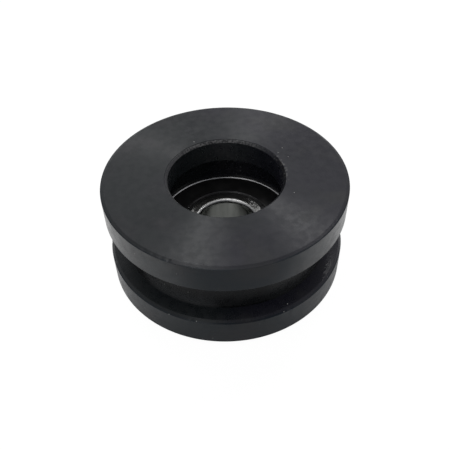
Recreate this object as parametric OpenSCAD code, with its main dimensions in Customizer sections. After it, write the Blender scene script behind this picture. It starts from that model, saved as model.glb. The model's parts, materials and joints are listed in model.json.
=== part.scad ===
// Grooved guide wheel on a sealed deep groove ball bearing.
//
// The wheel is one turned piece. A shallow belt groove with a flat floor and steep walls runs
// round its rim. From the back it is bored in steps: the bearing's seat, then a relief, then the
// narrower mouth, so that a lip is left at the front. The axle bolt's head sits in that recess
// and clamps the bearing's inner ring, and everything else turns round it.
//
// The axis is Z and the front face looks up. The lowest face lies at z = 0.

/* [Wheel] */
// Outside diameter of both flanges
wheel_d = 33; // [30:0.5:40]
// Width from the back face to the front face
wheel_w = 14.5; // [13:0.25:18]
// How far the bevel on the outer edge of each face reaches across the face
rim_bevel_w = 0.45; // [0.1:0.05:0.8]
// How far it reaches down the rim
rim_bevel_h = 0.2; // [0.1:0.05:0.6]

/* [Groove] */
// Depth from the flanges' diameter to the groove's floor
groove_depth = 2.35; // [1.5:0.05:3.5]
// Width of the flat floor
groove_floor_w = 5.2; // [4:0.1:7]
// Slope of each wall, measured from the plane of the wheel
groove_wall_angle = 10; // [0:1:20]
// Chamfer where each wall meets its flange
groove_chamfer = 0.4; // [0.1:0.05:0.8]

/* [Recess] */
// Diameter of the mouth in the front face
mouth_d = 15.5; // [13:0.1:17]
// Chamfer round the mouth
mouth_chamfer = 0.35; // [0.1:0.05:0.8]
// Thickness of the lip behind the mouth
lip_h = 3.6; // [2:0.1:6]
// Depth from the front face to the bearing
recess_depth = 8.2; // [7:0.1:9]
// Width of the shoulder that the bearing is pressed against
shoulder_w = 1.3; // [0.8:0.05:1.8]
// Chamfer that leads the bearing into its seat
seat_chamfer = 0.3; // [0.1:0.05:0.6]

/* [Bearing] */
// Bore for the axle
bearing_bore = 8; // [7.5:0.1:8.5]
// Outside diameter
bearing_d = 22; // [21.5:0.1:23]
// Width of both rings
bearing_w = 7; // [6.5:0.1:8]
// Diameter of a ball
ball_d = 3.969; // [3.6:0.001:4.1]
// Radius of a race groove for each millimetre of the ball's radius
race_conformity = 1.04; // [1.02:0.005:1.08]
// Clearance between a ball and the bottom of each race
race_clearance = 0.02; // [0.01:0.005:0.05]
// Depth of each race groove below its shoulder
race_depth = 0.55; // [0.4:0.05:0.7]
// Rounding of the outer ring's outer edges
outer_corner_r = 0.4; // [0.2:0.05:0.5]
// Rounding at both ends of the bore
bore_corner_r = 0.5; // [0.2:0.05:0.6]

/* [Seals] */
// Wall left in the outer ring outside a seal's seat
seal_seat_wall = 1.42; // [1.2:0.02:1.6]
// How far the outer ring's edge hooks over a seal's rim
seal_hook = 0.25; // [0.1:0.05:0.35]
// Height of that edge's straight wall
seal_hook_h = 0.15; // [0.05:0.05:0.2]
// How far a seal's face lies below the ring's face
seal_inset = 0.2; // [0.1:0.05:0.3]
// Thickness of a seal
seal_t = 0.65; // [0.5:0.05:0.75]
// Diameter of the fold line between a seal's body and its lip
seal_fold_d = 12.7; // [12.3:0.1:13.5]
// Width of the sloping step along the fold line
seal_fold_w = 0.15; // [0.1:0.05:0.3]
// How far the lip's face lies below the seal's face
seal_lip_drop = 0.16; // [0.05:0.01:0.25]
// Thickness of the lip
seal_lip_t = 0.3; // [0.2:0.05:0.4]
// Step down from the inner ring's shoulder to the land that a lip runs over
land_step = 0.5; // [0.3:0.05:0.7]
// Clearance between a lip and its land
lip_clearance = 0.05; // [0.02:0.01:0.1]
// Clearance between the back of a seal and the inner ring's shoulder
seal_back_clearance = 0.1; // [0.05:0.05:0.3]

/* [Cage] */
// Thickness of the pressed sheet
cage_t = 0.3; // [0.2:0.05:0.35]
// Radial width of the ribbon
cage_band_w = 2.1; // [1.6:0.1:2.3]
// Clearance between a ball and its pocket
pocket_clearance = 0.1; // [0.05:0.01:0.15]
// Diameter of a rivet's shank
rivet_d = 0.7; // [0.5:0.05:0.8]
// Diameter of a rivet's heads
rivet_head_d = 1.15; // [0.9:0.05:1.3]
// Height of a rivet's heads
rivet_head_h = 0.25; // [0.15:0.05:0.4]
// Clearance between a rivet and its hole
rivet_clearance = 0.02; // [0:0.01:0.05]

/* [Hidden] */

$fn = 144;
ball_count = 7;
arc_steps = 5;     // straight pieces in a rounded corner of a profile
edge_break = 0.1;  // small chamfer on the rings' inner edges
nothing = 0.01;    // how far a cutter reaches past what it cuts

// Heights. The bearing may stand out of the back face, and whichever is lower rests at z = 0.
stand_out = recess_depth + bearing_w - wheel_w;
wheel_back_z = max(stand_out, 0);
wheel_front_z = wheel_back_z + wheel_w;
groove_z = wheel_back_z + wheel_w / 2;
bearing_front_z = wheel_front_z - recess_depth;
bearing_back_z = bearing_front_z - bearing_w;
bearing_z = bearing_front_z - bearing_w / 2;

// Radii of the wheel
wheel_r = wheel_d / 2;
floor_r = wheel_r - groove_depth;
mouth_r = mouth_d / 2;
seat_r = bearing_d / 2;
relief_r = seat_r - shoulder_w;

// Radii of the bearing
bore_r = bearing_bore / 2;
ball_r = ball_d / 2;
pitch_r = (bearing_bore + bearing_d) / 4;
race_r = ball_r * race_conformity;
race_reach = ball_r + race_clearance;   // from the pitch circle to the bottom of either race
inner_shoulder_r = pitch_r - race_reach + race_depth;
outer_shoulder_r = pitch_r + race_reach - race_depth;
land_r = inner_shoulder_r - land_step;
seal_seat_r = seat_r - seal_seat_wall;
hook_r = seal_seat_r - seal_hook;
hook_bevel_w = seal_hook * 0.7;
hook_bevel_h = seal_hook_h * 0.7;
seal_fold_r = seal_fold_d / 2;

// Depths below a face of the bearing
seal_seat_depth = seal_inset + seal_t;
land_depth = seal_seat_depth + seal_back_clearance;
lip_face_depth = seal_inset + seal_lip_drop;

// The groove's half widths, at the top of its walls and at the flanges' diameter
wall_half_w = groove_floor_w / 2 + (groove_depth - groove_chamfer) * tan(groove_wall_angle);
edge_half_w = wall_half_w + groove_chamfer;

// The cage's pockets
pocket_r = ball_r + pocket_clearance;
cage_reach = pocket_r + cage_t;

// Points along an arc about c, from one angle to another
function arc(c, r, from, to) =
    [for (i = [0 : arc_steps])
        let (a = from + (to - from) * i / arc_steps)
        c + r * [cos(a), sin(a)]];

// A profile followed by its own mirror image about the height z
function and_mirrored(points, z) =
    concat(points, [for (i = [len(points) - 1 : -1 : 0]) [points[i][0], 2 * z - points[i][1]]]);

// Solid turned from a profile of [radius, height] points
module turned(points) {
    rotate_extrude() polygon(points);
}

// Ring of round section that cuts a race groove
module race(centre_r) {
    translate([0, 0, bearing_z]) rotate_extrude() translate([centre_r, 0]) circle(r = race_r);
}

// What is at one ball's place, and at every ball's place, optionally half a pitch further round
module at_ball(i, shift = 0) {
    rotate([0, 0, (i - 1 + shift) * 360 / ball_count]) translate([pitch_r, 0, bearing_z]) children();
}

module at_each_ball(shift = 0) {
    for (i = [1 : ball_count]) at_ball(i, shift) children();
}

// ---------------------------------------------------------------- wheel

groove_lower_half = [
    [wheel_r, groove_z - edge_half_w],
    [wheel_r - groove_chamfer, groove_z - wall_half_w],
    [floor_r, groove_z - groove_floor_w / 2]
];

module wheel_body() {
    color([0.16, 0.16, 0.17])
        turned(concat(
            [[seat_r + seat_chamfer, wheel_back_z],
             [wheel_r - rim_bevel_w, wheel_back_z],
             [wheel_r, wheel_back_z + rim_bevel_h]],
            and_mirrored(groove_lower_half, groove_z),
            [[wheel_r, wheel_front_z - rim_bevel_h],
             [wheel_r - rim_bevel_w, wheel_front_z],
             [mouth_r + mouth_chamfer, wheel_front_z],
             [mouth_r, wheel_front_z - mouth_chamfer],
             [mouth_r, wheel_front_z - lip_h],
             [relief_r, wheel_front_z - lip_h],
             [relief_r, bearing_front_z],
             [seat_r, bearing_front_z],
             [seat_r, wheel_back_z + seat_chamfer]]
        ));
}

// ---------------------------------------------------------------- bearing rings

// Back half of each ring's profile, up to the middle of the race's shoulder
outer_half_profile = concat(
    [[outer_shoulder_r, bearing_z],
     [outer_shoulder_r, bearing_back_z + seal_seat_depth],
     [seal_seat_r, bearing_back_z + seal_seat_depth],
     [seal_seat_r, bearing_back_z + seal_hook_h + seal_hook],
     [hook_r, bearing_back_z + seal_hook_h],
     [hook_r, bearing_back_z + hook_bevel_h],
     [hook_r + hook_bevel_w, bearing_back_z]],
    arc([seat_r - outer_corner_r, bearing_back_z + outer_corner_r], outer_corner_r, 270, 360)
);

inner_half_profile = concat(
    arc([bore_r + bore_corner_r, bearing_back_z + bore_corner_r], bore_corner_r, 180, 270),
    [[land_r - edge_break, bearing_back_z],
     [land_r, bearing_back_z + edge_break],
     [land_r, bearing_back_z + land_depth],
     [inner_shoulder_r - edge_break, bearing_back_z + land_depth],
     [inner_shoulder_r, bearing_back_z + land_depth + edge_break],
     [inner_shoulder_r, bearing_z]]
);

module outer_ring() {
    color([0.72, 0.73, 0.74])
        difference() {
            turned(and_mirrored(outer_half_profile, bearing_z));
            race(pitch_r + race_reach - race_r);
        }
}

module inner_ring() {
    color([0.74, 0.75, 0.75])
        difference() {
            turned(and_mirrored(inner_half_profile, bearing_z));
            race(pitch_r - race_reach + race_r);
        }
}

// ---------------------------------------------------------------- seals

// A seal's section as [radius, depth below the bearing's face]. Its rim fills the seat under the
// outer ring's hooked edge. Past the fold line the thin lip reaches in to the inner ring's land.
rim_face_r = hook_r + max(seal_inset - seal_hook_h, 0);
lip_r = land_r + lip_clearance;

seal_profile = [
    [rim_face_r, seal_inset],
    [seal_seat_r, seal_hook_h + seal_hook],
    [seal_seat_r, seal_seat_depth],
    [seal_fold_r, seal_seat_depth],
    [seal_fold_r - seal_fold_w, lip_face_depth + seal_lip_t],
    [lip_r, lip_face_depth + seal_lip_t],
    [lip_r, lip_face_depth + edge_break],
    [lip_r + edge_break, lip_face_depth],
    [seal_fold_r - seal_fold_w, lip_face_depth],
    [seal_fold_r, seal_inset]
];

module seal() {
    color([0.07, 0.07, 0.075]) turned(seal_profile);
}

module front_seal() {
    translate([0, 0, bearing_front_z]) mirror([0, 0, 1]) seal();
}

module rear_seal() {
    translate([0, 0, bearing_back_z]) seal();
}

// ---------------------------------------------------------------- balls and cage

module ball(i) {
    color([0.86, 0.87, 0.88]) at_ball(i) sphere(d = ball_d, $fn = 48);
}

// The ribbon's own space: a ring centred on the pitch circle, from the middle plane to its top
module cage_band() {
    translate([0, 0, bearing_z]) rotate_extrude()
        translate([pitch_r - cage_band_w / 2, 0]) square([cage_band_w, cage_reach + nothing]);
}

// Half of the pressed cage: flat between the balls, and domed over each of them
module cage_half() {
    intersection() {
        cage_band();
        difference() {
            union() {
                translate([0, 0, bearing_z]) cylinder(r = pitch_r + cage_band_w, h = cage_t);
                at_each_ball() sphere(r = cage_reach, $fn = 72);
            }
            at_each_ball() sphere(r = pocket_r, $fn = 72);
            at_each_ball(0.5) translate([0, 0, -nothing])
                cylinder(d = rivet_d + 2 * rivet_clearance, h = cage_t + 2 * nothing, $fn = 24);
        }
    }
}

module cage_front_half() {
    color([0.66, 0.62, 0.55]) cage_half();
}

module cage_rear_half() {
    color([0.60, 0.56, 0.50])
        translate([0, 0, bearing_z]) mirror([0, 0, 1]) translate([0, 0, -bearing_z]) cage_half();
}

// Rivet through both halves, with an upset head on each side
module rivet() {
    cylinder(d = rivet_d, h = 2 * cage_t, center = true, $fn = 24);
    for (side = [0, 1]) mirror([0, 0, side]) translate([0, 0, cage_t])
        cylinder(d1 = rivet_head_d, d2 = rivet_d, h = rivet_head_h, $fn = 24);
}

module cage_rivets() {
    color([0.78, 0.77, 0.74]) at_each_ball(0.5) rivet();
}

wheel_body();
outer_ring();
inner_ring();
front_seal();
rear_seal();
cage_front_half();
cage_rear_half();
cage_rivets();
ball(1);  // ball_1
ball(2);  // ball_2
ball(3);  // ball_3
ball(4);  // ball_4
ball(5);  // ball_5
ball(6);  // ball_6
ball(7);  // ball_7
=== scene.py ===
# %% [markdown]
# # A turned guide wheel on a sealed ball bearing
# The wheel is a disc of black acetal, turned on a lathe, with a groove round its rim. A deep
# recess in its front face takes the head of the axle bolt, and at the bottom of the recess sits
# a sealed ball bearing. The construction arrives finished, as a frame of solids at their real
# size, and this lesson gives those solids the surfaces that a lathe, a grinder and a mould leave.

# %% Load the frame
import json
import math
from collections import namedtuple

import bpy
import numpy as np
from mathutils import Matrix, Vector


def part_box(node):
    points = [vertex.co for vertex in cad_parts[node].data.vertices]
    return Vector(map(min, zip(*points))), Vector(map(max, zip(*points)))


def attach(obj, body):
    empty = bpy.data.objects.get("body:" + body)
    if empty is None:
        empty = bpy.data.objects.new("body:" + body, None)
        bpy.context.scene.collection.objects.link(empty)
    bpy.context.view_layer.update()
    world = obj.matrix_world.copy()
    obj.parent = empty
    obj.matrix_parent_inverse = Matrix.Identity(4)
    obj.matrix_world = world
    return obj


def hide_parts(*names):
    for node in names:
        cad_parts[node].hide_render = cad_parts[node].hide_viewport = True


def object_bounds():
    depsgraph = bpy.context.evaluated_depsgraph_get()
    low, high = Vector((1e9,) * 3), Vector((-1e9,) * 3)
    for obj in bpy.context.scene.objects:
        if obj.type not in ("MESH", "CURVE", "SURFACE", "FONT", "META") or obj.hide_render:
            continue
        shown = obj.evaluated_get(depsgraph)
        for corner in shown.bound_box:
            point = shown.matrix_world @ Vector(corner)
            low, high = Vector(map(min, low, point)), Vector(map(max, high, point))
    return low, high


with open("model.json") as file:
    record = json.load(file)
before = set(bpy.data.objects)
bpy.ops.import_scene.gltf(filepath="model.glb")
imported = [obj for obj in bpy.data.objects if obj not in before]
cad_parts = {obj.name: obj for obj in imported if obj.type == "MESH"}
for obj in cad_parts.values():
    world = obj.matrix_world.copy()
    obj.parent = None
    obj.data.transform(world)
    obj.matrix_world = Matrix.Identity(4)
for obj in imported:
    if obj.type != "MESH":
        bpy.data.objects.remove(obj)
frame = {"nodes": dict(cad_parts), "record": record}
cad_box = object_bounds()
MM = 0.001


def in_mm(*lengths):
    """Lengths in metres as millimetres, short enough to print."""
    return [round(float(length) / MM, 2) for length in lengths]


print("nodes:", ", ".join(sorted(frame["nodes"])))
print("box in mm:", [in_mm(*corner) for corner in cad_box])

# %% [markdown]
# ## Reading a turned part's section
# Everything that was made on a lathe is one outline swept round an axis. The frame's solids
# are already cut into triangles, and triangles are a poor base for soft edges. Their corners
# still lie on a few circles, though, so the outline can be read back: each circle is one
# corner, and a triangle that touches two circles joins them.

# %% Read the outline of a turned node
SAME = 0.004 * MM


def outline_of(node):
    """The corners of a turned node as [radius, height] rows in metres, counterclockwise."""
    mesh = frame["nodes"][node].data
    corners = []
    circle = []
    for vertex in mesh.vertices:
        place = (math.hypot(vertex.co.x, vertex.co.y), vertex.co.z)
        near = [i for i, c in enumerate(corners) if math.dist(c, place) < SAME]
        if not near:
            near = [len(corners)]
            corners.append(place)
        circle.append(near[0])
    joined = {i: set() for i in range(len(corners))}
    for a, b in (edge.vertices for edge in mesh.edges):
        if circle[a] != circle[b]:
            joined[circle[a]].add(circle[b])
            joined[circle[b]].add(circle[a])
    path = [0, min(joined[0])]
    while path[-1] != 0:
        path.append((joined[path[-1]] - {path[-2]}).pop())
    points = np.array([corners[i] for i in path[:-1]])
    ahead = np.roll(points, -1, axis=0)
    area = (points[:, 0] * ahead[:, 1] - points[:, 1] * ahead[:, 0]).sum()
    return points if area > 0 else points[::-1]


TURNED = ("wheel_body", "outer_ring", "inner_ring", "front_seal", "rear_seal")
outlines = {node: outline_of(node) for node in TURNED}
for node, outline in outlines.items():
    print(node, "has an outline of", len(outline), "corners")

# %% [markdown]
# ## Sizes from the outlines
# Many finishes end at an edge: the groove's floor has painted shade and its walls don't, and a burr
# keeps to the mouth. Written as bare numbers those edges would go wrong as soon as the
# construction changed. They are looked up instead, each by the height or radius it lies on.

# %% Look up edges by height or radius
def radii_at(outline, height):
    """The radii of the corners at one height, smallest first."""
    return sorted(r for r, z in outline if abs(z - height) < SAME)


def heights_at(outline, radius):
    """The heights of the corners on one radius, lowest first."""
    return sorted(z for r, z in outline if abs(r - radius) < SAME)


wheel_outline = outlines["wheel_body"]
wheel_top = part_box("wheel_body")[1]
wheel_radius, front_z = wheel_top.x, wheel_top.z
mouth_radius = wheel_outline[:, 0].min()
mouth_edge, rim_edge = radii_at(wheel_outline, front_z)
chamfer = mouth_edge - mouth_radius
lip_z = heights_at(wheel_outline, mouth_radius)[0]
lower_edge_z, upper_edge_z = heights_at(wheel_outline, wheel_radius)[1:3]
ring_top_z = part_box("inner_ring")[1].z
relief_radius, seat_radius = radii_at(wheel_outline, ring_top_z)
beside_groove = [
    r for r, z in wheel_outline if lower_edge_z < z < upper_edge_z and r > seat_radius + SAME
]
floor_radius = min(beside_groove)
floor_foot_z = heights_at(wheel_outline, floor_radius)[0]
print("rim, groove floor and mouth radii in mm:", in_mm(wheel_radius, floor_radius, mouth_radius))
print("the groove's edges and the face lie at", in_mm(lower_edge_z, upper_edge_z, front_z), "mm")

# %% Look up the bearing's edges
bore_radius = outlines["inner_ring"][:, 0].min()
bore_foot_z, bore_top_z = heights_at(outlines["inner_ring"], bore_radius)
ring_face_radius = radii_at(outlines["inner_ring"], ring_top_z)[0]
hook_radius = radii_at(outlines["outer_ring"], ring_top_z)[0]
fold_radius = radii_at(outlines["front_seal"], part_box("front_seal")[1].z)[0]
print("bore, ring face, seal fold and outer ring's hook radii in mm:",
      in_mm(bore_radius, ring_face_radius, fold_radius, hook_radius))

# %% [markdown]
# ## Soft edges
# No real edge is a knife edge. A cutting tool leaves a tiny radius, and that radius is what
# catches the light, so a render with knife edges looks like a drawing. A bevel modifier could
# round them, but on a turned part it is cleaner to round the outline before it is swept: each
# corner becomes an arc that touches both of its neighbours.

# %% Round the corners of an outline
LEAST_TURN = math.radians(0.5)
ARC_SHARE = 0.45    # of the shorter neighbour, the most that an arc takes


def softened(outline, edge, hollow, steps=4):
    """The outline with arcs on its corners: of radius edge on outer ones, and hollow on inner."""
    made = []
    for i, corner in enumerate(outline):
        arriving = corner - outline[i - 1]
        leaving = outline[(i + 1) % len(outline)] - corner
        room = ARC_SHARE * min(np.hypot(*arriving), np.hypot(*leaving))
        arriving = arriving / np.hypot(*arriving)
        leaving = leaving / np.hypot(*leaving)
        turn = math.atan2(arriving[0] * leaving[1] - arriving[1] * leaving[0], arriving @ leaving)
        if abs(turn) < LEAST_TURN:
            continue
        half = math.tan(abs(turn) / 2)
        reach = min((edge if turn > 0 else hollow) * half, room)
        radius = math.copysign(reach / half, turn)
        centre = corner - arriving * reach + radius * np.array([-arriving[1], arriving[0]])
        for step in range(steps + 1):
            bend = turn * step / steps
            across = np.array([
                arriving[0] * math.sin(bend) + arriving[1] * math.cos(bend),
                arriving[1] * math.sin(bend) - arriving[0] * math.cos(bend),
            ])
            made.append(centre + radius * across)
    return np.array(made)


square = np.array([(0, 0), (1, 0), (1, 1), (0, 1)]) * MM
print("a square's 4 corners become", len(softened(square, 0.1 * MM, 0.1 * MM)), "points")

# %% [markdown]
# ## Even faces
# Between two arcs a turned face is one long quad from edge to edge, and nothing on it could be
# dented or shaded on its own. More points along the outline cut it up. Two of them sit close to
# each end of a stretch, where the shading changes fastest, and the rest are evenly spaced.

# %% Add points along the long stretches of an outline
NEAR_ENDS = (0.12 * MM, 0.35 * MM)
END_SHARE = 0.4    # of a stretch, the furthest that such a point may lie from its end


def with_more_points(outline, longest):
    """The outline with stretches no longer than longest between its points."""
    made = []
    for start, end in zip(outline, np.roll(outline, -1, axis=0)):
        length = np.hypot(*(end - start))
        ends = [near for near in NEAR_ENDS if near < END_SHARE * length]
        inner = ends[-1] if ends else 0
        parts = max(1, math.ceil((length - 2 * inner) / longest))
        stops = [0, *ends[:-1]]
        stops += [inner + (length - 2 * inner) * part / parts for part in range(parts)]
        stops += [length - near for near in reversed(ends)]
        made += [start + (end - start) * stop / length for stop in sorted(set(stops))]
    return np.array(made)


print("and with more points on its sides it has", len(with_more_points(square, 0.1 * MM)))

# %% [markdown]
# ## Sweeping the outline
# The outline is repeated at equal steps round the axis and the copies are joined by quads.
# While that is done the mesh gets its own map as well: once round the axis is one side of it,
# and once along the outline is the other, which suits marks that run in circles. A weighted
# normal modifier then lets the large flat faces keep straight shading right up to the narrow
# arcs beside them.

# %% Steps round the axis
WHEEL_STEPS = 512
RING_STEPS = 384


def angles(steps):
    """The azimuth of every step round the axis, in radians."""
    return np.arange(steps) * (2 * math.pi / steps)


def repeated(outline, steps):
    """The same outline at every step, ready to be dented and swept."""
    return np.repeat(outline[None], steps, axis=0)


rim_step = 2 * math.pi * wheel_radius / WHEEL_STEPS
print("one step round the wheel's rim is", *in_mm(rim_step), "mm")

# %% Sweep an outline into a mesh
def swept(name, rings):
    """A closed mesh from rings[step][corner] = [radius, height], one outline per step."""
    steps, count = rings.shape[:2]
    angle = angles(steps)[:, None]
    places = np.empty((steps, count, 3))
    places[:, :, 0] = rings[:, :, 0] * np.cos(angle)
    places[:, :, 1] = rings[:, :, 0] * np.sin(angle)
    places[:, :, 2] = rings[:, :, 1]
    step, corner = np.meshgrid(np.arange(steps), np.arange(count), indexing="ij")
    next_step, next_corner = (step + 1) % steps, (corner + 1) % count
    faces = np.stack([
        step * count + corner,
        next_step * count + corner,
        next_step * count + next_corner,
        step * count + next_corner,
    ], axis=-1).reshape(-1, 4)
    mesh = bpy.data.meshes.new(name)
    mesh.from_pydata(places.reshape(-1, 3).tolist(), [], faces.tolist())
    lengths = np.hypot(*(np.roll(rings[0], -1, axis=0) - rings[0]).T)
    along = np.append(0, np.cumsum(lengths)) / lengths.sum()
    low, high = along[corner], along[corner + 1]
    left, right = step / steps, (step + 1) / steps
    flat = np.stack([left, low, right, low, right, high, left, high], axis=-1)
    mesh.uv_layers.new(name="OFBake").uv.foreach_set("vector", flat.astype(np.float32).ravel())
    mesh.shade_smooth()
    piece = bpy.data.objects.new(name, mesh)
    bpy.context.scene.collection.objects.link(piece)
    piece.modifiers.new("straight shading on flats", "WEIGHTED_NORMAL")
    print(name, "has", len(mesh.polygons), "faces")
    return piece


print("swept as it is, the wheel would have", len(wheel_outline) * WHEEL_STEPS, "faces")

# %% [markdown]
# ## Nicks and burrs
# Acetal is soft for an engineering plastic. Its sharp edges pick up small nicks when wheels
# lie together in a bin, and the tool leaves a slightly ragged edge where it leaves the cut.
# Both are too small for the construction and too visible for a flat colour, so they are moved
# into the mesh: a nick pushes the nearest corners in, and a burr makes an edge wander a little.

# %% Push nicks into an edge, and make an edge wander
BURR_WAVES = 24
FEWEST, MOST = 9, 120    # waves of a burr in one turn
BURR_HOLD = 0.12 * MM    # how far from the edge its wandering dies away


def nicked(rings, edge, inward, nicks):
    """Dents the rings. edge and inward are [radius, height]; a nick is (azimuth, size, depth)."""
    angle = angles(len(rings))
    inward = np.array(inward) / np.hypot(*inward)
    reach = np.hypot(*np.moveaxis(rings - np.array(edge), -1, 0))
    for azimuth, size, depth in nicks:
        apart = (angle - math.radians(azimuth) + math.pi) % (2 * math.pi) - math.pi
        distance = np.hypot(apart[:, None] * edge[0], reach)
        rings = rings + (depth * np.exp(-(distance / size) ** 2))[:, :, None] * inward
    return rings


def ragged(rings, edge, depth, seed):
    """Makes an edge wander by up to about depth, with waves that differ in length."""
    random = np.random.default_rng(seed)
    waves = random.integers(FEWEST, MOST, BURR_WAVES)
    starts = random.uniform(0, 2 * math.pi, BURR_WAVES)
    wander = np.sin(angles(len(rings))[:, None] * waves + starts).sum(1) / math.sqrt(BURR_WAVES / 2)
    reach = np.hypot(*np.moveaxis(rings - np.array(edge), -1, 0))
    held = np.exp(-(reach / BURR_HOLD) ** 2)
    made = rings.copy()
    made[:, :, 0] += depth * wander[:, None] * held
    return made


mouth_round = 2 * math.pi * mouth_radius
print("the burr's waves are", in_mm(mouth_round / MOST, mouth_round / FEWEST), "mm long")

# %% [markdown]
# ## Where the nicks are
# A few clear nicks sit at chosen azimuths along the front of both rims. The rest are shallow
# and scattered by a seeded generator, more of them at the front and beside the mouth, so that
# no stretch of an edge is perfect. Azimuths are in degrees, and 270 faces the camera.

# %% Choose the nicks
NICK, SHALLOW = 0.15 * MM, 0.04 * MM
random = np.random.default_rng(7)


def scattered(low, high, count, size, depth):
    """Nicks of one size at random azimuths between low and high."""
    return [(azimuth, size, depth) for azimuth in random.uniform(low, high, count)]


rim_nicks = [
    (245.3, 0.16 * MM, 0.10 * MM), (233, 0.20 * MM, 0.07 * MM), (238, 0.14 * MM, 0.06 * MM),
    *scattered(200, 340, 6, NICK, SHALLOW), *scattered(0, 200, 8, NICK, SHALLOW),
]
lower_nicks = [
    (253, 0.16 * MM, 0.09 * MM), (298.5, 0.20 * MM, 0.10 * MM), (242.3, NICK, 0.06 * MM),
    *scattered(0, 360, 12, NICK, SHALLOW),
]
mouth_nicks = [
    *scattered(-25, 25, 10, 0.14 * MM, SHALLOW), *scattered(0, 360, 10, 0.14 * MM, 0.03 * MM),
]
print("nicks:", len(rim_nicks), "on the rim,", len(lower_nicks), "on the lower flange and",
      len(mouth_nicks), "round the mouth")

# %% [markdown]
# ## The mouth's burr
# The construction has a plain chamfer where the recess opens in the face. On the real wheel a
# deburring blade went round by hand: it left a narrow lip with a hollow behind it. A bevel can't
# make that, so the chamfer's two corners give way to four, from the face down into the hole.

# %% Shape the mouth
burr_depth = 1.20 * chamfer
burred_mouth = [
    (mouth_radius + 1.06 * chamfer, front_z),
    (mouth_radius + 0.93 * chamfer, front_z - 0.30 * chamfer),
    (mouth_radius + 0.82 * chamfer, front_z - 0.10 * chamfer),
    (mouth_radius, front_z - burr_depth),
]
face_corner = np.hypot(*(wheel_outline - (mouth_edge, front_z)).T).argmin()
past_chamfer = np.roll(wheel_outline, -face_corner, axis=0)[2:]
sharp = np.vstack([burred_mouth, past_chamfer])
print("the chamfer is", *in_mm(chamfer), "mm wide, and the outline now has", len(sharp), "corners")

# %% [markdown]
# ## The wheel
# Everything so far comes together: the outline is softened, cut up and repeated, its edges are
# nicked and made ragged, and only then is it swept. A knocked corner moves inwards, so a nick
# on an outer edge goes down and towards the axis, and one in the mouth goes away from it.

# %% Build the wheel
EDGE_RADIUS, HOLLOW_RADIUS = 0.03 * MM, 0.015 * MM
LONGEST = 1.5 * MM
rim_bevel = (rim_edge + 0.5 * (wheel_radius - rim_edge), front_z - 0.15 * MM)
mouth_bevel = (mouth_radius + 0.15 * MM, front_z - 0.1 * MM)
soft = with_more_points(softened(sharp, EDGE_RADIUS, HOLLOW_RADIUS), LONGEST)
rings = repeated(soft, WHEEL_STEPS)
rings = nicked(rings, rim_bevel, (-1, -1), rim_nicks)
rings = nicked(rings, (wheel_radius, lower_edge_z), (-1, -1), lower_nicks)
rings = nicked(rings, mouth_bevel, (1, -1), mouth_nicks)
rings = ragged(rings, mouth_bevel, 0.02 * MM, seed=3)
wheel = swept("turned_wheel", rings)

# %% [markdown]
# ## The bearing's rings and seals
# A bearing's parts are guarded from knocks, so their outlines are softened and swept as they
# are. The rings are tumbled after grinding, which gives them rounder edges than the wheel's
# fresh cuts, and the rubber takes the small radii of its mould.

# %% Build the bearing's rings and seals
def plain_piece(name, node, edge, hollow, longest):
    """A turned node swept with soft edges and nothing else."""
    soft = with_more_points(softened(outlines[node], edge, hollow, steps=3), longest)
    return swept(name, repeated(soft, RING_STEPS))


outer_ring = plain_piece("ground_outer_ring", "outer_ring", 0.05 * MM, 0.03 * MM, 1 * MM)
inner_ring = plain_piece("ground_inner_ring", "inner_ring", 0.05 * MM, 0.04 * MM, 1 * MM)
front_seal = plain_piece("moulded_front_seal", "front_seal", 0.04 * MM, 0.03 * MM, 0.5 * MM)
rear_seal = plain_piece("moulded_rear_seal", "rear_seal", 0.04 * MM, 0.03 * MM, 0.5 * MM)

# %% [markdown]
# ## Writing a finish as arithmetic
# A finish is a tree of shader nodes. Wiring it by hand hides the idea behind the boxes, so a
# small class wraps an output socket and lets Python's own operators add the Math nodes. One
# more method makes any other node: its settings first, and then its sockets.

# %% A socket that can be calculated with
class Wire:
    """An output socket of a node tree that takes part in Python's arithmetic."""

    def __init__(self, tree, socket=None):
        self.tree = tree
        self.socket = socket

    def node(self, kind, settings=None, inputs=None, output=0):
        """Adds a node, sets it up, fills its sockets, and returns one of its outputs."""
        made = self.tree.nodes.new(kind)
        for name, value in (settings or {}).items():
            setattr(made, name, value)
        for name, value in (inputs or {}).items():
            if isinstance(value, Wire):
                self.tree.links.new(value.socket, made.inputs[name])
            else:
                made.inputs[name].default_value = value
        return Wire(self.tree, made.outputs[output]) if made.outputs else None

    def math(self, operation, *values):
        """Adds a Math node, which the operators below do as well."""
        return self.node("ShaderNodeMath", {"operation": operation}, dict(enumerate(values)))

    def __add__(self, other):
        return self.math("ADD", self, other)

    def __sub__(self, other):
        return self.math("SUBTRACT", self, other)

    def __rsub__(self, other):
        return self.math("SUBTRACT", other, self)

    def __mul__(self, other):
        return self.math("MULTIPLY", self, other)

    def __truediv__(self, other):
        return self.math("DIVIDE", self, other)

    def __pow__(self, other):
        return self.math("POWER", self, other)

    def __gt__(self, other):
        return self.math("GREATER_THAN", self, other)

    def __lt__(self, other):
        return self.math("LESS_THAN", self, other)

    def __abs__(self):
        return self.math("ABSOLUTE", self)

    __radd__ = __add__
    __rmul__ = __mul__


print("a wire can be added, subtracted, multiplied, divided, raised to a power and compared")

# %% [markdown]
# ## The words of a finish
# The same few questions come up in every finish: where on the piece is this point, what does
# the noise say there, how much of a second colour shows, and how high is the surface. Each gets
# a short helper. Places are in millimetres from the resting piece's own origin, so a finish
# stays on its piece when the wheel turns.

# %% Start a finish, and find the place on its surface
Spot = namedtuple("Spot", "place x y z radius")


def new_finish(name):
    """An empty material, and a wire to build on."""
    material = bpy.data.materials.new(name)
    material.use_nodes = True
    material.node_tree.nodes.clear()
    return material, Wire(material.node_tree)


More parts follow.
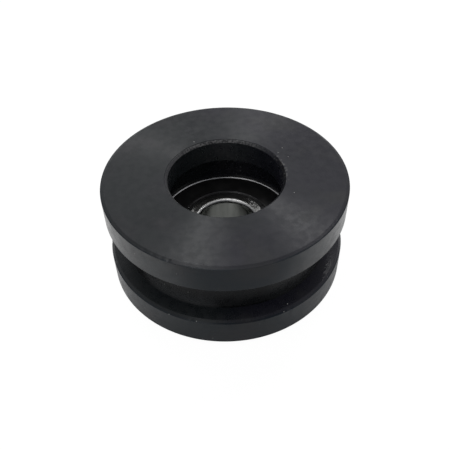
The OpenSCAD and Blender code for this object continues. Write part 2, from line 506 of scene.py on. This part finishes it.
def spot_in_mm(w):
    """Where a point is on the resting object: its place, and its distance from the axis."""
    place = w.node("ShaderNodeTexCoord", output="Object")
    place = w.node("ShaderNodeVectorMath", {"operation": "SCALE"}, {"Vector": place, "Scale": 1 / MM})
    x, y, z = [w.node("ShaderNodeSeparateXYZ", None, {0: place}, axis) for axis in "XYZ"]
    return Spot(place, x, y, z, (x * x + y * y) ** 0.5)


def reach_towards(at, azimuth):
    """How far a point lies towards an azimuth in degrees. Over its radius this is a cosine: 1
    straight towards the azimuth, and 0 a quarter turn away from it."""
    angle = math.radians(azimuth)
    return math.cos(angle) * at.x + math.sin(angle) * at.y


print("a place on a piece is given by its", ", ".join(Spot._fields))

# %% Noise, ramps, colours and heights
FACTOR, COLOUR_A, COLOUR_B, MIXED = 0, 6, 7, 2    # a Mix node's sockets when it mixes colours


def vector(w, x, y, z=0.0):
    """A vector from three values or wires."""
    return w.node("ShaderNodeCombineXYZ", None, {"X": x, "Y": y, "Z": z})


def noise(w, place, per_mm, detail):
    """Smooth noise from 0 to 1, with the given number of waves in a millimetre."""
    settings = {"noise_dimensions": "3D"}
    sockets = {"Vector": place, "Scale": per_mm, "Detail": detail}
    return w.node("ShaderNodeTexNoise", settings, sockets)


def circles(w, at, per_mm, detail):
    """Noise that is even round the axis, apart from a slow drift."""
    drift = 0.5 * at.x / (at.radius + 0.01)
    return noise(w, vector(w, at.radius * per_mm, at.z * per_mm, drift), 1.0, detail)


def ramp(w, value, low, high):
    """0 at low, 1 at high, and a smooth change between them. low may be the larger one."""
    settings = {"interpolation_type": "SMOOTHSTEP"}
    return w.node("ShaderNodeMapRange", settings, {"Value": value, "From Min": low, "From Max": high})


def blend_colours(w, share, a, b):
    """Colour a where share is 0, and colour b where it is 1."""
    a, b = [c if isinstance(c, Wire) else (*c, 1) for c in (a, b)]
    sockets = {FACTOR: share, COLOUR_A: a, COLOUR_B: b}
    return w.node("ShaderNodeMix", {"data_type": "RGBA"}, sockets, MIXED)


def bumped(w, height, depth, under=None):
    """A normal from a height of 0 to 1 that stands for depth in metres."""
    sockets = {"Height": height, "Distance": depth, "Strength": 1.0}
    if under:
        sockets["Normal"] = under
    return w.node("ShaderNodeBump", None, sockets)


helpers = (vector, noise, circles, ramp, blend_colours, bumped)
print("helpers for a finish:", ", ".join(helper.__name__ for helper in helpers))

# %% Close a finish and file it
finishes = {}


def close_finish(w, sockets):
    """Ends a finish with one Principled shader."""
    shader = w.node("ShaderNodeBsdfPrincipled", None, sockets)
    w.node("ShaderNodeOutputMaterial", None, {"Surface": shader})


def file_finish(make):
    """Makes a finish and keeps it under its name, for the pieces that will wear it."""
    finishes[make.__name__] = make()
    print(make.__name__, "is a tree of", len(finishes[make.__name__].node_tree.nodes), "nodes")


print("finishes filed so far:", len(finishes))

# %% [markdown]
# ## Turned black acetal: the zones
# One finish covers the whole wheel, but a lathe doesn't leave it the same everywhere. The rim
# and the recess were cut finer than the face, the groove is rubbed by what ran in it, and the
# mouth was deburred. Each zone is a mask made from comparisons of radius and height. It keeps a
# hair's width from the edge beside it, so that the rounded edge itself wears one finish.

# %% The wheel's zones
TOP, RIM, MOUTH, CHAMFER = [size / MM for size in (front_z, wheel_radius, mouth_radius, chamfer)]
LOWER_EDGE, UPPER_EDGE, LIP = [size / MM for size in (lower_edge_z, upper_edge_z, lip_z)]
RELIEF, SEAT, FLOOR = [size / MM for size in (relief_radius, seat_radius, floor_radius)]
FLOOR_FOOT, BURR_DEPTH = floor_foot_z / MM, burr_depth / MM
HAIR = 0.05    # mm, like the other sizes in a finish


def zones_of_wheel(at):
    """A mask for each zone of the wheel: 1 inside it and 0 elsewhere."""
    groove = (
        (at.radius > SEAT + 1) * (at.radius < RIM - HAIR)
        * (at.z > LOWER_EDGE + HAIR) * (at.z < UPPER_EDGE - HAIR)
    )
    return {
        "recess": (at.radius < RELIEF + 0.5) * (at.z < LIP - HAIR),
        "rim": at.radius > RIM - 3 * HAIR,
        "groove": groove,
        "groove floor": groove * (at.radius < FLOOR + 5 * HAIR),
        "lip": (at.radius < MOUTH + 0.02) * (at.z < TOP - CHAMFER - HAIR),
        "mouth": (at.radius < MOUTH + 0.97 * CHAMFER) * (at.z > TOP - BURR_DEPTH),
    }


groove_span = (round(LOWER_EDGE + HAIR, 2), round(UPPER_EDGE - HAIR, 2))
print("the groove's zone reaches from %s to %s mm" % groove_span)

# %% [markdown]
# ## Turned black acetal: film, dust and flecks
# Black plastic is never one black. Fingers leave a thin film that turns it a little greener or
# more violet, dust greys it in patches, and pale flecks of swarf or lint stick to it. Film and
# dust are two broad noises. Flecks could be noise as well, but the few that catch the eye are
# listed one by one, each as a small ball of another colour, and random ones stay off the face.
# Their pale colour also paints the glints that small burrs on the edges catch.

# %% Film and dust
GREENISH_BLACK, VIOLET_BLACK = (0.0068, 0.0094, 0.0108), (0.0078, 0.0078, 0.0138)
RIM_BLACK = (0.0048, 0.0094, 0.0138)
DUSTY = (0.0140, 0.0145, 0.0170)


def handled_acetal(w, at, zones, smear, grain):
    """The plastic's own colour, with the film of handling and the dust that sticks to it."""
    patches = noise(w, at.place, 0.10, 3.0) - 0.5
    film = ramp(w, 0.5 + 0.03 * at.x + 1.5 * patches, 0.2, 0.8)
    clean = blend_colours(w, film, GREENISH_BLACK, VIOLET_BLACK)
    clean = blend_colours(w, 0.8 * zones["rim"], clean, RIM_BLACK)
    dust = ramp(w, smear + 0.25 * grain, 0.62, 0.85)
    return blend_colours(w, dust, clean, DUSTY)


print("the acetal is", GREENISH_BLACK, "to", VIOLET_BLACK, "and", DUSTY, "where it is dusty")

# %% Flecks
# the flecks' pale colour is partly dust and partly painted glints on burrs
PALE_FLECK_AND_GLINT = (0.30, 0.30, 0.29)
FLECKS_AND_GLINTS = (    # distance from the axis, azimuth in degrees, height and size
    (MOUTH + 1.01, 119.7, TOP, 0.08), (MOUTH + 1.84, 336.7, TOP, 0.06), (MOUTH + 1.72, 22.7, TOP, 0.06),
    (MOUTH + 2.15, 35.2, TOP, 0.06), (MOUTH + 1.0, 32.0, TOP, 0.06), (MOUTH + 0.25, 6.0, TOP - 0.1, 0.08),
    (MOUTH + 0.45, 14.0, TOP, 0.05), (RIM - 0.1, 245.2, TOP - 0.08, 0.08), (RIM, 242.3, LOWER_EDGE, 0.07),
    (RIM, 253.0, LOWER_EDGE, 0.06), (RIM - 0.1, 255.4, LOWER_EDGE + 0.1, 0.05),
    (RIM - 0.1, 295.3, LOWER_EDGE + 0.1, 0.06), (RIM - 0.7, 298.5, LOWER_EDGE + 0.5, 0.09),
    (RIM, 222.9, LOWER_EDGE - 3.16, 0.06),
)


def random_flecks_and_glints(w, at, per_mm, size, share):
    """Small round flecks, partly painted glints: 1 inside one and 0 elsewhere. share is how many cells
    hold one.
    """
    angle = w.math("ARCTAN2", at.y, at.x)
    cells = {"Vector": vector(w, angle * RIM, at.radius - at.z), "Scale": per_mm}
    distance = w.node("ShaderNodeTexVoronoi", {"voronoi_dimensions": "2D"}, cells, "Distance")
    colour = w.node("ShaderNodeTexVoronoi", {"voronoi_dimensions": "2D"}, cells, "Color")
    chance = w.node("ShaderNodeSeparateColor", None, {0: colour}, 0)
    return (distance < size) * (chance > 1 - share)


def with_flecks_and_glints(w, at, colour):
    """The colour with random flecks below the face and the chosen ones everywhere, pale as dust and as
    painted glints.
    """
    flecked_and_glinting = random_flecks_and_glints(w, at, per_mm=0.5, size=0.022, share=0.06)
    flecked_and_glinting = flecked_and_glinting * (at.z < TOP - 0.5)
    for distance, azimuth, height, size in FLECKS_AND_GLINTS:
        angle = math.radians(azimuth)
        middle = [distance * math.cos(angle), distance * math.sin(angle), height]
        sockets = {0: at.place, 1: middle}
        apart = w.node("ShaderNodeVectorMath", {"operation": "DISTANCE"}, sockets, "Value")
        flecked_and_glinting = w.math("MAXIMUM", flecked_and_glinting, apart < size)
    return blend_colours(w, flecked_and_glinting, colour, PALE_FLECK_AND_GLINT)


print(len(FLECKS_AND_GLINTS), "flecks are put in by hand")

# %% [markdown]
# ## Turned black acetal: worn edges and painted light
# Where the blade went round the mouth the plastic is white with fine tears behind, and flaking at
# the right. Its white behind is also a painted highlight, of the light that the chamfer catches, and
# the edge at the left has a painted grey sheen. In the groove the floor has painted shade, with a
# painted pale patch of light at its foot in front. These are the places that the eye goes to first,
# so each gets its own mask: a ramp over the azimuth says where, and at the mouth a noise breaks it up.

# %% The mouth's burr, its painted sheen and its torn edge
# the burr's pale is partly a painted highlight, and the grey at the left is a painted sheen
BURR_DARK, PALE_BURR_AND_HIGHLIGHT = (0.012, 0.012, 0.014), (0.11, 0.11, 0.112)
PAINTED_LEFT_SHEEN = (0.032, 0.032, 0.036)
TORN = (0.07, 0.07, 0.07)


def with_burr_and_painted_sheen(w, at, zones, colour, rag):
    """The colour with the ragged pale burr behind, which is also a painted highlight, and a painted grey
    sheen on the edge at the left.
    """
    # painted highlight: the pale burr goes only behind, where the chamfer catches the light
    burr_and_highlight = blend_colours(w, ramp(w, rag, 0.35, 0.65), BURR_DARK, PALE_BURR_AND_HIGHLIGHT)
    behind = ramp(w, reach_towards(at, 115.0) / at.radius, 0.121, 1.027)
    left = ramp(w, reach_towards(at, 180.0) / at.radius, 0.55, 0.90)
    # painted sheen: the mouth's edge at the left is coloured a lighter grey
    colour = blend_colours(w, zones["mouth"] * left, colour, PAINTED_LEFT_SHEEN)
    return blend_colours(w, zones["mouth"] * behind * (1 - 0.8 * left), colour, burr_and_highlight)


def with_torn_edge(w, at, colour):
    """The colour with the flakes that the blade tore out of the face at the right."""
    torn = ramp(w, reach_towards(at, 10.0) / at.radius, 0.86, 0.98)
    torn = torn * ramp(w, at.radius, MOUTH + 1.05, MOUTH + 0.25)
    flaking = noise(w, at.place, 2.6, 4.0) > 0.70 - 0.20 * torn
    on_face = (at.radius > MOUTH) * (at.z > TOP - 0.4)
    return blend_colours(w, torn * flaking * on_face, colour, TORN)


print("the burr is", PALE_BURR_AND_HIGHLIGHT, "at its palest and the torn face", TORN)

# %% The groove floor's painted shade and painted light
GROOVE_FLOOR_SHADE, PAINTED_GROOVE_LIGHT = (0.0020, 0.0025, 0.0033), (0.029, 0.031, 0.033)


def with_painted_groove_light(w, at, zones, colour):
    """The colour with painted shade on the groove floor, and painted pale light at its foot in front."""
    # painted light: a pale patch at the floor's foot in front, and a weaker one at the right
    painted_light_patch = ramp(w, reach_towards(at, 241.9) / at.radius, 0.892, 0.987)
    painted_light_patch = painted_light_patch * ramp(w, at.z, FLOOR_FOOT + 2.45, FLOOR_FOOT + 0.05)
    painted_light_patch = painted_light_patch + 0.25 * ramp(w, reach_towards(at, 306.9) / at.radius, 0.93, 0.99)
    # painted shade: the rest of the groove floor is coloured darker than the walls
    band = blend_colours(w, painted_light_patch, GROOVE_FLOOR_SHADE, PAINTED_GROOVE_LIGHT)
    return blend_colours(w, zones["groove floor"], colour, band)


print("the patch at the floor's foot is up to", round(PAINTED_GROOVE_LIGHT[0] / GROOVE_FLOOR_SHADE[0]), "times as bright")

# %% [markdown]
# ## Turned black acetal: the gloss
# Acetal is cut clean by a sharp tool. What is left are fine marks that run in circles, so a
# lamp shows as a pair of soft fans across the face and not as a spot. The marks are finer than
# the eye resolves from here: the shader's anisotropy stands for them, a quarter turn round so
# that the gloss spreads across them, and a low bump adds the few that can be seen. The frayed
# edge at the mouth's right has no gloss at all, so a plain diffuse shader is mixed in there.

# %% How rough the acetal is
PLAIN_ROUGHNESS = 0.40
SMOOTHER_BY = {"recess": 0.12, "rim": 0.22, "groove": 0.12, "lip": 0.10}


def acetal_roughness(w, at, zones, smear, broad):
    """The face's roughness, uneven with smears and handling, and less of it in finer cut zones."""
    rough = PLAIN_ROUGHNESS + 0.10 * (smear - 0.5) + 0.06 * (broad - 0.5)
    for zone, less in SMOOTHER_BY.items():
        rough = rough - less * zones[zone]
    handled = ramp(w, noise(w, at.place, 1.1, 5.0), 0.30, 0.70) - 0.5
    return rough + 0.09 * handled


rim_roughness = PLAIN_ROUGHNESS - SMOOTHER_BY["rim"]
print("the face's roughness is about", PLAIN_ROUGHNESS, "and the rim's", round(rim_roughness, 2))

# %% Black acetal
NO_GLOSS = (0.008, 0.008, 0.010, 1)


def black_acetal():
    """The whole wheel's finish: turned plastic, with a dull fray mixed in at the mouth's right."""
    material, w = new_finish("black_acetal")
    at = spot_in_mm(w)
    zones = zones_of_wheel(at)
    fine = circles(w, at, 6.0, 2.0)
    broad = circles(w, at, 0.9, 3.0)
    smear = noise(w, at.place, 0.22, 4.0)
    grain = noise(w, at.place, 9.0, 2.0)
    rag = noise(w, at.place, 3.5, 4.0)
    colour = handled_acetal(w, at, zones, smear, grain)
    colour = with_burr_and_painted_sheen(w, at, zones, colour, rag)
    colour = with_painted_groove_light(w, at, zones, colour)
    colour = with_flecks_and_glints(w, at, colour)
    colour = with_torn_edge(w, at, colour)
    normal = bumped(w, broad, 0.010 * MM)
    normal = bumped(w, fine, 0.0012 * MM, normal)
    normal = bumped(w, grain, 0.0006 * MM, normal)
    turned = w.node("ShaderNodeBsdfPrincipled", None, {
        "Base Color": colour, "Roughness": acetal_roughness(w, at, zones, smear, broad),
        "Normal": normal, "Specular IOR Level": 0.36, "Anisotropic": 0.95,
        "Anisotropic Rotation": 0.25,
    })
    dull = w.node("ShaderNodeBsdfDiffuse", None, {"Color": NO_GLOSS})
    right = ramp(w, reach_towards(at, 354.2) / at.radius, 0.724, 0.925)
    frayed = zones["mouth"] * right * (0.90 - 0.5 * ramp(w, rag, 0.56, 0.66))
    surface = w.node("ShaderNodeMixShader", None, {0: frayed, 1: turned, 2: dull})
    w.node("ShaderNodeOutputMaterial", None, {"Surface": surface})
    return material


file_finish(black_acetal)

# %% [markdown]
# ## Ground bearing steel
# The rings are hardened steel, ground all over. Their faces are nearly mirrors with the faint
# circles of the grinding wheel. The bolt's washer has scuffed the inner ring's face into small
# pale flakes at the left and right, where they also paint the glints of the lamps, and the thin
# edge of the outer ring that holds the seal has a painted highlight. The bore is painted darker
# for the shade inside it, with streaks from axles pushed through it.

# %% Colours of the steel
STEEL, STAINED = (0.52, 0.52, 0.51), (0.42, 0.42, 0.41)
# the bore's colours are painted shade, streaked along the bore
BORE_SHADE_DARK, BORE_SHADE_PALE = (0.255, 0.265, 0.25), (0.295, 0.305, 0.29)
CHAMFER_STAIN = (0.34, 0.34, 0.335)
PALE_FLAKE_AND_GLINT = (0.60, 0.60, 0.59)
PAINTED_HIGHLIGHT_EDGE = (0.95, 0.95, 0.94)
BORE, RING_FACE, RING_TOP = [size / MM for size in (bore_radius, ring_face_radius, ring_top_z)]
BORE_FOOT, BORE_TOP, HOOK = [size / MM for size in (bore_foot_z, bore_top_z, hook_radius)]


def zones_of_rings(at):
    """A mask for each zone of the bearing's two rings."""
    on_top = at.z > RING_TOP - 0.15
    return {
        "bore": (at.radius < BORE + 0.06) * (at.z > BORE_FOOT - HAIR) * (at.z < BORE_TOP + HAIR),
        "chamfer": (at.radius > BORE + 0.06) * (at.radius < RING_FACE + HAIR) * (at.z > RING_TOP - 0.6),
        "face": (at.radius > RING_FACE) * (at.radius < RING_FACE + 1.5) * on_top,
        "hook": (at.radius > HOOK - 0.3) * (at.radius < HOOK + 0.025) * (at.z > RING_TOP - 0.14),
    }


def scuffs_and_glints(w, at):
    """From 0 to 1, how scuffed the inner ring's face is, and where its painted glints go: most at its
    right, and less at its left.
    """
    right = ramp(w, reach_towards(at, 2.9), 3.33, 5.55)
    left = ramp(w, reach_towards(at, 185.8), 4.02, 5.63)
    on_face = (at.radius < RING_FACE + 1.25) * (at.radius > RING_FACE) * (at.z > RING_TOP - 0.2)
    return w.math("MAXIMUM", right, 0.75 * left) * on_face


print("the steel is", STEEL, "to", STAINED, "and its flakes are", PALE_FLAKE_AND_GLINT)

# %% Ground steel
def bearing_steel():
    """The finish of both rings: ground steel, stained, scuffed, with painted shade in the bore and a
    painted highlight on the thin edge.
    """
    material, w = new_finish("bearing_steel")
    at = spot_in_mm(w)
    zones = zones_of_rings(at)
    scuffed_and_glinting = scuffs_and_glints(w, at)
    ground = circles(w, at, 9.0, 3.0)
    stain = noise(w, at.place, 0.8, 3.0)
    mottle = noise(w, at.place, 5.0, 3.0)
    drawn = noise(w, vector(w, 1.4 * at.x, 1.4 * at.y, 0.1 * at.z), 1.0, 2.0)
    flaked = noise(w, at.place, 7.5, 3.0)
    # painted glints: pale flakes on the scuffs at the left and right, partly real scuffing
    flakes_and_glints = ramp(w, flaked + 0.18 * scuffed_and_glinting, 0.54, 0.70) * (scuffed_and_glinting > 0.01)
    # painted highlight: the outer ring's thin edge is coloured near white, a little less at the right
    hook = zones["hook"] * (1 - 0.3 * ramp(w, at.x, 3.0, 6.0))
    # painted shade: the bore is coloured darker than the steel, with streaks along it
    bore_shade = blend_colours(w, ramp(w, drawn, 0.35, 0.65), BORE_SHADE_DARK, BORE_SHADE_PALE)
    stained_chamfer = zones["chamfer"] * ramp(w, mottle, 0.40, 0.60)
    colour = blend_colours(w, ramp(w, stain, 0.4, 0.7), STEEL, STAINED)
    colour = blend_colours(w, zones["bore"], colour, bore_shade)
    colour = blend_colours(w, stained_chamfer, colour, CHAMFER_STAIN)
    colour = blend_colours(w, flakes_and_glints, colour, PALE_FLAKE_AND_GLINT)
    colour = blend_colours(w, hook, colour, PAINTED_HIGHLIGHT_EDGE)
    rough = 0.12 + 0.06 * stain + 0.10 * zones["chamfer"] + 0.05 * zones["face"]
    rough = rough + 0.06 * scuffed_and_glinting + 0.36 * flakes_and_glints + 0.10 * hook
    normal = bumped(w, ground, 0.0010 * MM)
    normal = bumped(w, mottle, 0.0015 * MM, normal)
    close_finish(w, {
        "Base Color": colour, "Roughness": rough, "Normal": normal, "Metallic": 1 - 0.8 * flakes_and_glints,
    })
    return material


file_finish(bearing_steel)

# %% [markdown]
# ## Moulded rubber
# The seals are black nitrile rubber, moulded onto a steel washer. Rubber from a polished mould
# is satin and very dark, with the mould's own turning marks copied into it. The fold where the
# seal steps down to its lip was stretched smooth, and shows as a thin shinier line.

# %% Seal rubber
DARK_RUBBER, HAZY_RUBBER = (0.010, 0.010, 0.0105), (0.020, 0.020, 0.020)
FOLD = fold_radius / MM


def seal_rubber():
    """The finish of both seals: satin black rubber with circles from its mould."""
    material, w = new_finish("seal_rubber")
    at = spot_in_mm(w)
    mould = circles(w, at, 4.0, 3.0)
    grain = noise(w, at.place, 8.0, 3.0)
    haze = noise(w, at.place, 0.6, 3.0)
    fold = (at.radius > FOLD - 0.20) * (at.radius < FOLD + 0.01)
    normal = bumped(w, mould, 0.004 * MM)
    normal = bumped(w, grain, 0.002 * MM, normal)
    close_finish(w, {
        "Base Color": blend_colours(w, ramp(w, haze, 0.35, 0.75), DARK_RUBBER, HAZY_RUBBER),
        "Roughness": 0.38 + 0.2 * (haze - 0.5) - 0.16 * fold,
        "Normal": normal,
    })
    return material


file_finish(seal_rubber)

# %% [markdown]
# ## The hidden steel
# The cage is pressed from soft steel sheet and keeps the rolled skin of the sheet, and the
# balls are lapped to a mirror. Both lie behind the seals, so a plain noise each is enough: long
# streaks along one direction for the rolled sheet, and a thin haze of grease for the balls.

# %% Cage steel
ROLLED, ROLLED_DARK = (0.50, 0.47, 0.42), (0.38, 0.35, 0.31)


def cage_steel():
    """The finish of the cage and its rivets: rolled sheet, a little yellow."""
    material, w = new_finish("cage_steel")
    at = spot_in_mm(w)
    rolled = noise(w, vector(w, at.x * 6.0, at.y * 0.8, at.z), 1.0, 3.0)
    stain = noise(w, at.place, 0.7, 3.0)
    close_finish(w, {
        "Base Color": blend_colours(w, stain, ROLLED, ROLLED_DARK),
        "Roughness": 0.3 + 0.15 * rolled,
        "Normal": bumped(w, rolled, 0.002 * MM),
        "Metallic": 1.0,
    })
    return material


file_finish(cage_steel)

# %% Ball steel
LAPPED, LAPPED_DARK = (0.66, 0.66, 0.67), (0.60, 0.60, 0.61)


def ball_steel():
    """The finish of the balls: a mirror with a thin haze."""
    material, w = new_finish("ball_steel")
    haze = noise(w, spot_in_mm(w).place, 1.5, 2.0)
    colour = blend_colours(w, haze, LAPPED, LAPPED_DARK)
    close_finish(w, {"Base Color": colour, "Roughness": 0.05 + 0.05 * haze, "Metallic": 1.0})
    return material


file_finish(ball_steel)

# %% [markdown]
# ## Dressing the pieces
# The record says which finish each node wears and which body carries it. A swept piece takes
# the place of its solid and rides on the same body, so it turns with the wheel or stands with
# the axle. The hidden balls, cage and rivets are good enough as solids and only change finish.

# %% Dress every piece
slot_of = {row["node"]: row["material_slot"] for row in frame["record"]["subparts"]}
bodies = frame["record"]["behaviour"]["bodies"]
body_of = {node: body for body, nodes in bodies.items() for node in nodes}
stand_ins = {
    "wheel_body": wheel, "outer_ring": outer_ring, "inner_ring": inner_ring,
    "front_seal": front_seal, "rear_seal": rear_seal,
}
for node, solid in frame["nodes"].items():
    piece = stand_ins.get(node, solid)
    piece.data.materials.clear()
    piece.data.materials.append(finishes[slot_of[node]])
    if piece is not solid:
        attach(piece, body_of[node])
        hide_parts(node)
    print(piece.name, "wears", slot_of[node], "and rides on", body_of[node])

# %% [markdown]
# ## The floor
# The wheel stands on a white sweep. What the camera sees of it is white, while its light on the
# object stays at a plain level, so black plastic keeps its depth. In front, and close by on the
# right, the sweep has painted shade that only the other rays see: the flanges mirror it and stay
# black. Gloss sees the sweep as white only further out, and from below the floor is clear.

# %% White floor
WHITE = (1, 1, 1, 1)
WHITE_SEEN = 1.05    # a touch over white, so that no grey noise is left in the background
# the grey is painted shade on the floor, in front of the wheel and near it on the right
PAPER, FLOOR_SHADE_GREY = (0.95, 0.95, 0.95), (0.54, 0.55, 0.56)
FLOOR_SHADE_STARTS, FLOOR_SHADE_FULL = RIM, RIM + 8.5
GLOSS_STARTS, GLOSS_FULL = RIM + 2, RIM + 14.5
GLOSS_SHARE = 0.62    # of the white that the camera sees


def rays(w, *kinds):
    """1 for a ray of one of these kinds, and 0 for all others."""
    found = [w.node("ShaderNodeLightPath", output=f"Is {kind} Ray") for kind in kinds]
    while len(found) > 1:
        found.append(w.math("MAXIMUM", found.pop(), found.pop()))
    return found[0]


def white_floor():
    """White paper to the camera, and paper with painted grey shade in front to everything else."""
    material, w = new_finish("white_floor")
    at = spot_in_mm(w)
    # painted shade: grey in front of the wheel and near it on the right, hidden from the camera
    front = ramp(w, 0.14 * at.x - at.y - 0.05 * abs(at.x), FLOOR_SHADE_STARTS, FLOOR_SHADE_FULL)
    near = 0.08 * (1 - ramp(w, at.radius, FLOOR_SHADE_STARTS + 0.5, FLOOR_SHADE_FULL)) * ramp(w, at.x, 0.0, 15.0)
    floor_shade = w.math("MAXIMUM", front, near)
    paper = w.node("ShaderNodeBsdfDiffuse", None, {"Color": blend_colours(w, floor_shade, PAPER, FLOOR_SHADE_GREY)})
    white = w.node("ShaderNodeEmission", None, {"Color": WHITE, "Strength": WHITE_SEEN})
    seen = rays(w, "Camera", "Transmission") * (0.92 + 0.08 * ramp(w, at.radius, RIM + 1.5, RIM + 33.5))
    mirrored = GLOSS_SHARE * ramp(w, at.radius, GLOSS_STARTS, GLOSS_FULL) * (1 - floor_shade)
    mirrored = rays(w, "Glossy") * mirrored
    lit = w.node("ShaderNodeMixShader", None, {0: seen + mirrored, 1: paper, 2: white})
    clear = w.node("ShaderNodeBsdfTransparent")
    below = w.node("ShaderNodeNewGeometry", output="Backfacing")
    both = w.node("ShaderNodeMixShader", None, {0: below, 1: lit, 2: clear})
    w.node("ShaderNodeOutputMaterial", None, {"Surface": both})
    return material


file_finish(white_floor)

# %% Lay the floor
SWEEP = 3.0    # m from the wheel to each side

floor_mesh = bpy.data.meshes.new("floor")
floor_corners = [(x * SWEEP, y * SWEEP, 0) for x, y in ((-1, -1), (1, -1), (1, 1), (-1, 1))]
floor_mesh.from_pydata(floor_corners, [], [(0, 1, 2, 3)])
floor_mesh.materials.append(finishes["white_floor"])
floor = bpy.data.objects.new("floor", floor_mesh)
floor.location.z = cad_box[0].z - 0.02 * MM
bpy.context.scene.collection.objects.link(floor)
print("the floor is", 2 * SWEEP, "m wide and lies", *in_mm(cad_box[0].z - floor.location.z), "mm below")

# %% [markdown]
# ## The surroundings
# A glossy black thing shows its surroundings more than its own colour, as a jeweller knows who
# puts black and white card round a ring. The camera sees plain white, and the soft light is
# even. Gloss alone sees the cards: white before and behind, grey to the left and right, and a
# dark one high in front, which the steel and the far wall of the recess mirror.

# %% Empty surroundings
world = bpy.data.worlds.new("white surroundings")
bpy.context.scene.world = world
world.use_nodes = True
world.node_tree.nodes.clear()
sky = Wire(world.node_tree)


def background(colour, strength):
    """Light of one colour from all round."""
    return sky.node("ShaderNodeBackground", None, {"Color": colour, "Strength": strength})


def mixed(share, first, second):
    """The first shader where share is 0, and the second where it is 1."""
    return sky.node("ShaderNodeMixShader", None, {0: share, 1: first, 2: second})


print(world.name, "have", len(world.node_tree.nodes), "nodes so far")

# %% Cards round the wheel
SOFT_LIGHT = 0.6
FRONT_CARD, BACK_CARD, SIDE_CARDS = (1.03, 1.03, 1.05), (1.25, 1.25, 1.27), (0.40, 0.40, 0.42)
DARK_CARD = (0.15, 0.155, 0.17)
DARK_SIDE = (0.25, -0.68, 0.69)    # the direction of the dark card's middle

direction = sky.node("ShaderNodeTexCoord", output="Generated")
right, back = [sky.node("ShaderNodeSeparateXYZ", None, {0: direction}, axis) for axis in "XY"]
sockets = {0: direction, 1: DARK_SIDE}
facing = sky.node("ShaderNodeVectorMath", {"operation": "DOT_PRODUCT"}, sockets, "Value")
cards = blend_colours(sky, ramp(sky, back, 0.5, 0.9), FRONT_CARD, BACK_CARD)
cards = blend_colours(sky, ramp(sky, abs(right), 0.1, 0.65), cards, SIDE_CARDS)
cards = blend_colours(sky, ramp(sky, facing, 0.78, 0.95), cards, DARK_CARD)
whole = mixed(
    rays(sky, "Camera", "Transmission"), background(WHITE, SOFT_LIGHT), background(WHITE, WHITE_SEEN),
)
whole = mixed(rays(sky, "Glossy"), whole, background(cards, 1.0))
sky.node("ShaderNodeOutputWorld", None, {"Surface": whole})
print("the surroundings are a tree of", len(world.node_tree.nodes), "nodes")

# %% [markdown]
# ## The lamps
# Two small round softboxes, high up and a little behind the wheel, make the fans on its face:
# the turning marks smear each lamp into a band that runs through the axis. A larger lamp would
# wash the fans out and a point would make them hard. Brightness is that of the lamp's own face,
# with 1 as white, and the power in watts is worked out from it and from the lamp's size, so the
# reflection keeps its level when a lamp is made larger or smaller.

# %% Softboxes
def softbox(name, towards, distance, width, brightness):
    """A round lamp. towards points from the wheel's face to it; brightness is 1 for plain white."""
    lamp = bpy.data.lights.new(name, "AREA")
    lamp.shape = "DISK"
    lamp.size = width
    area = math.pi * width * width / 4
    lamp.energy = brightness * math.pi * area
    box = bpy.data.objects.new(name, lamp)
    direction = Vector(towards).normalized()
    box.location = Vector((0, 0, front_z)) + direction * distance
    box.rotation_euler = direction.to_track_quat("Z", "Y").to_euler()
    bpy.context.scene.collection.objects.link(box)
    print(name, "is", width, "m wide,", distance, "m away and gives", round(lamp.energy, 3), "W")


softbox("softbox_left", (-0.15, 0.30, 0.94), distance=0.4, width=0.10, brightness=12.0)
softbox("softbox_right", (0.33, 0.49, 0.81), distance=0.4, width=0.07, brightness=17.0)

# %% [markdown]
# ## The camera
# The wheel is seen from in front and about 40 degrees above, close enough for the far side to
# look smaller than the near one. The camera's distance goes with the wheel's radius. It looks a
# little past the wheel, and a small shift of the lens sets where the wheel stands in its view.

# %% Camera
CAMERA_ELEVATION = math.radians(39.867)
CAMERA_PITCH = math.radians(43.988)
CAMERA_ROLL = math.radians(0.150)
CAMERA_YAW = math.radians(-2.454)
CAMERA_DISTANCE = 4.7203 * wheel_radius


def looking_camera():
    """A camera in front of the wheel and above it, which looks down at its face."""
    lens = bpy.data.cameras.new("camera")
    lens.lens = 46.63
    lens.shift_x = -0.0433
    lens.shift_y = -0.0176
    lens.sensor_width = 36.0
    lens.clip_start = 1 * MM
    camera = bpy.data.objects.new("camera", lens)
    place = Vector((0, -math.cos(CAMERA_ELEVATION), math.sin(CAMERA_ELEVATION))) * CAMERA_DISTANCE
    turn = Matrix.Rotation(CAMERA_YAW, 4, "Z") @ Matrix.Rotation(math.pi / 2 - CAMERA_PITCH, 4, "X")
    turn = turn @ Matrix.Rotation(CAMERA_ROLL, 4, "Z")
    camera.matrix_world = Matrix.Translation(place + Vector((0, 0, front_z))) @ turn
    bpy.context.scene.collection.objects.link(camera)
    return camera


bpy.context.scene.camera = looking_camera()
bpy.context.scene.view_settings.view_transform = "Standard"
print("the camera is", *in_mm(CAMERA_DISTANCE), "mm from the middle of the wheel's face")
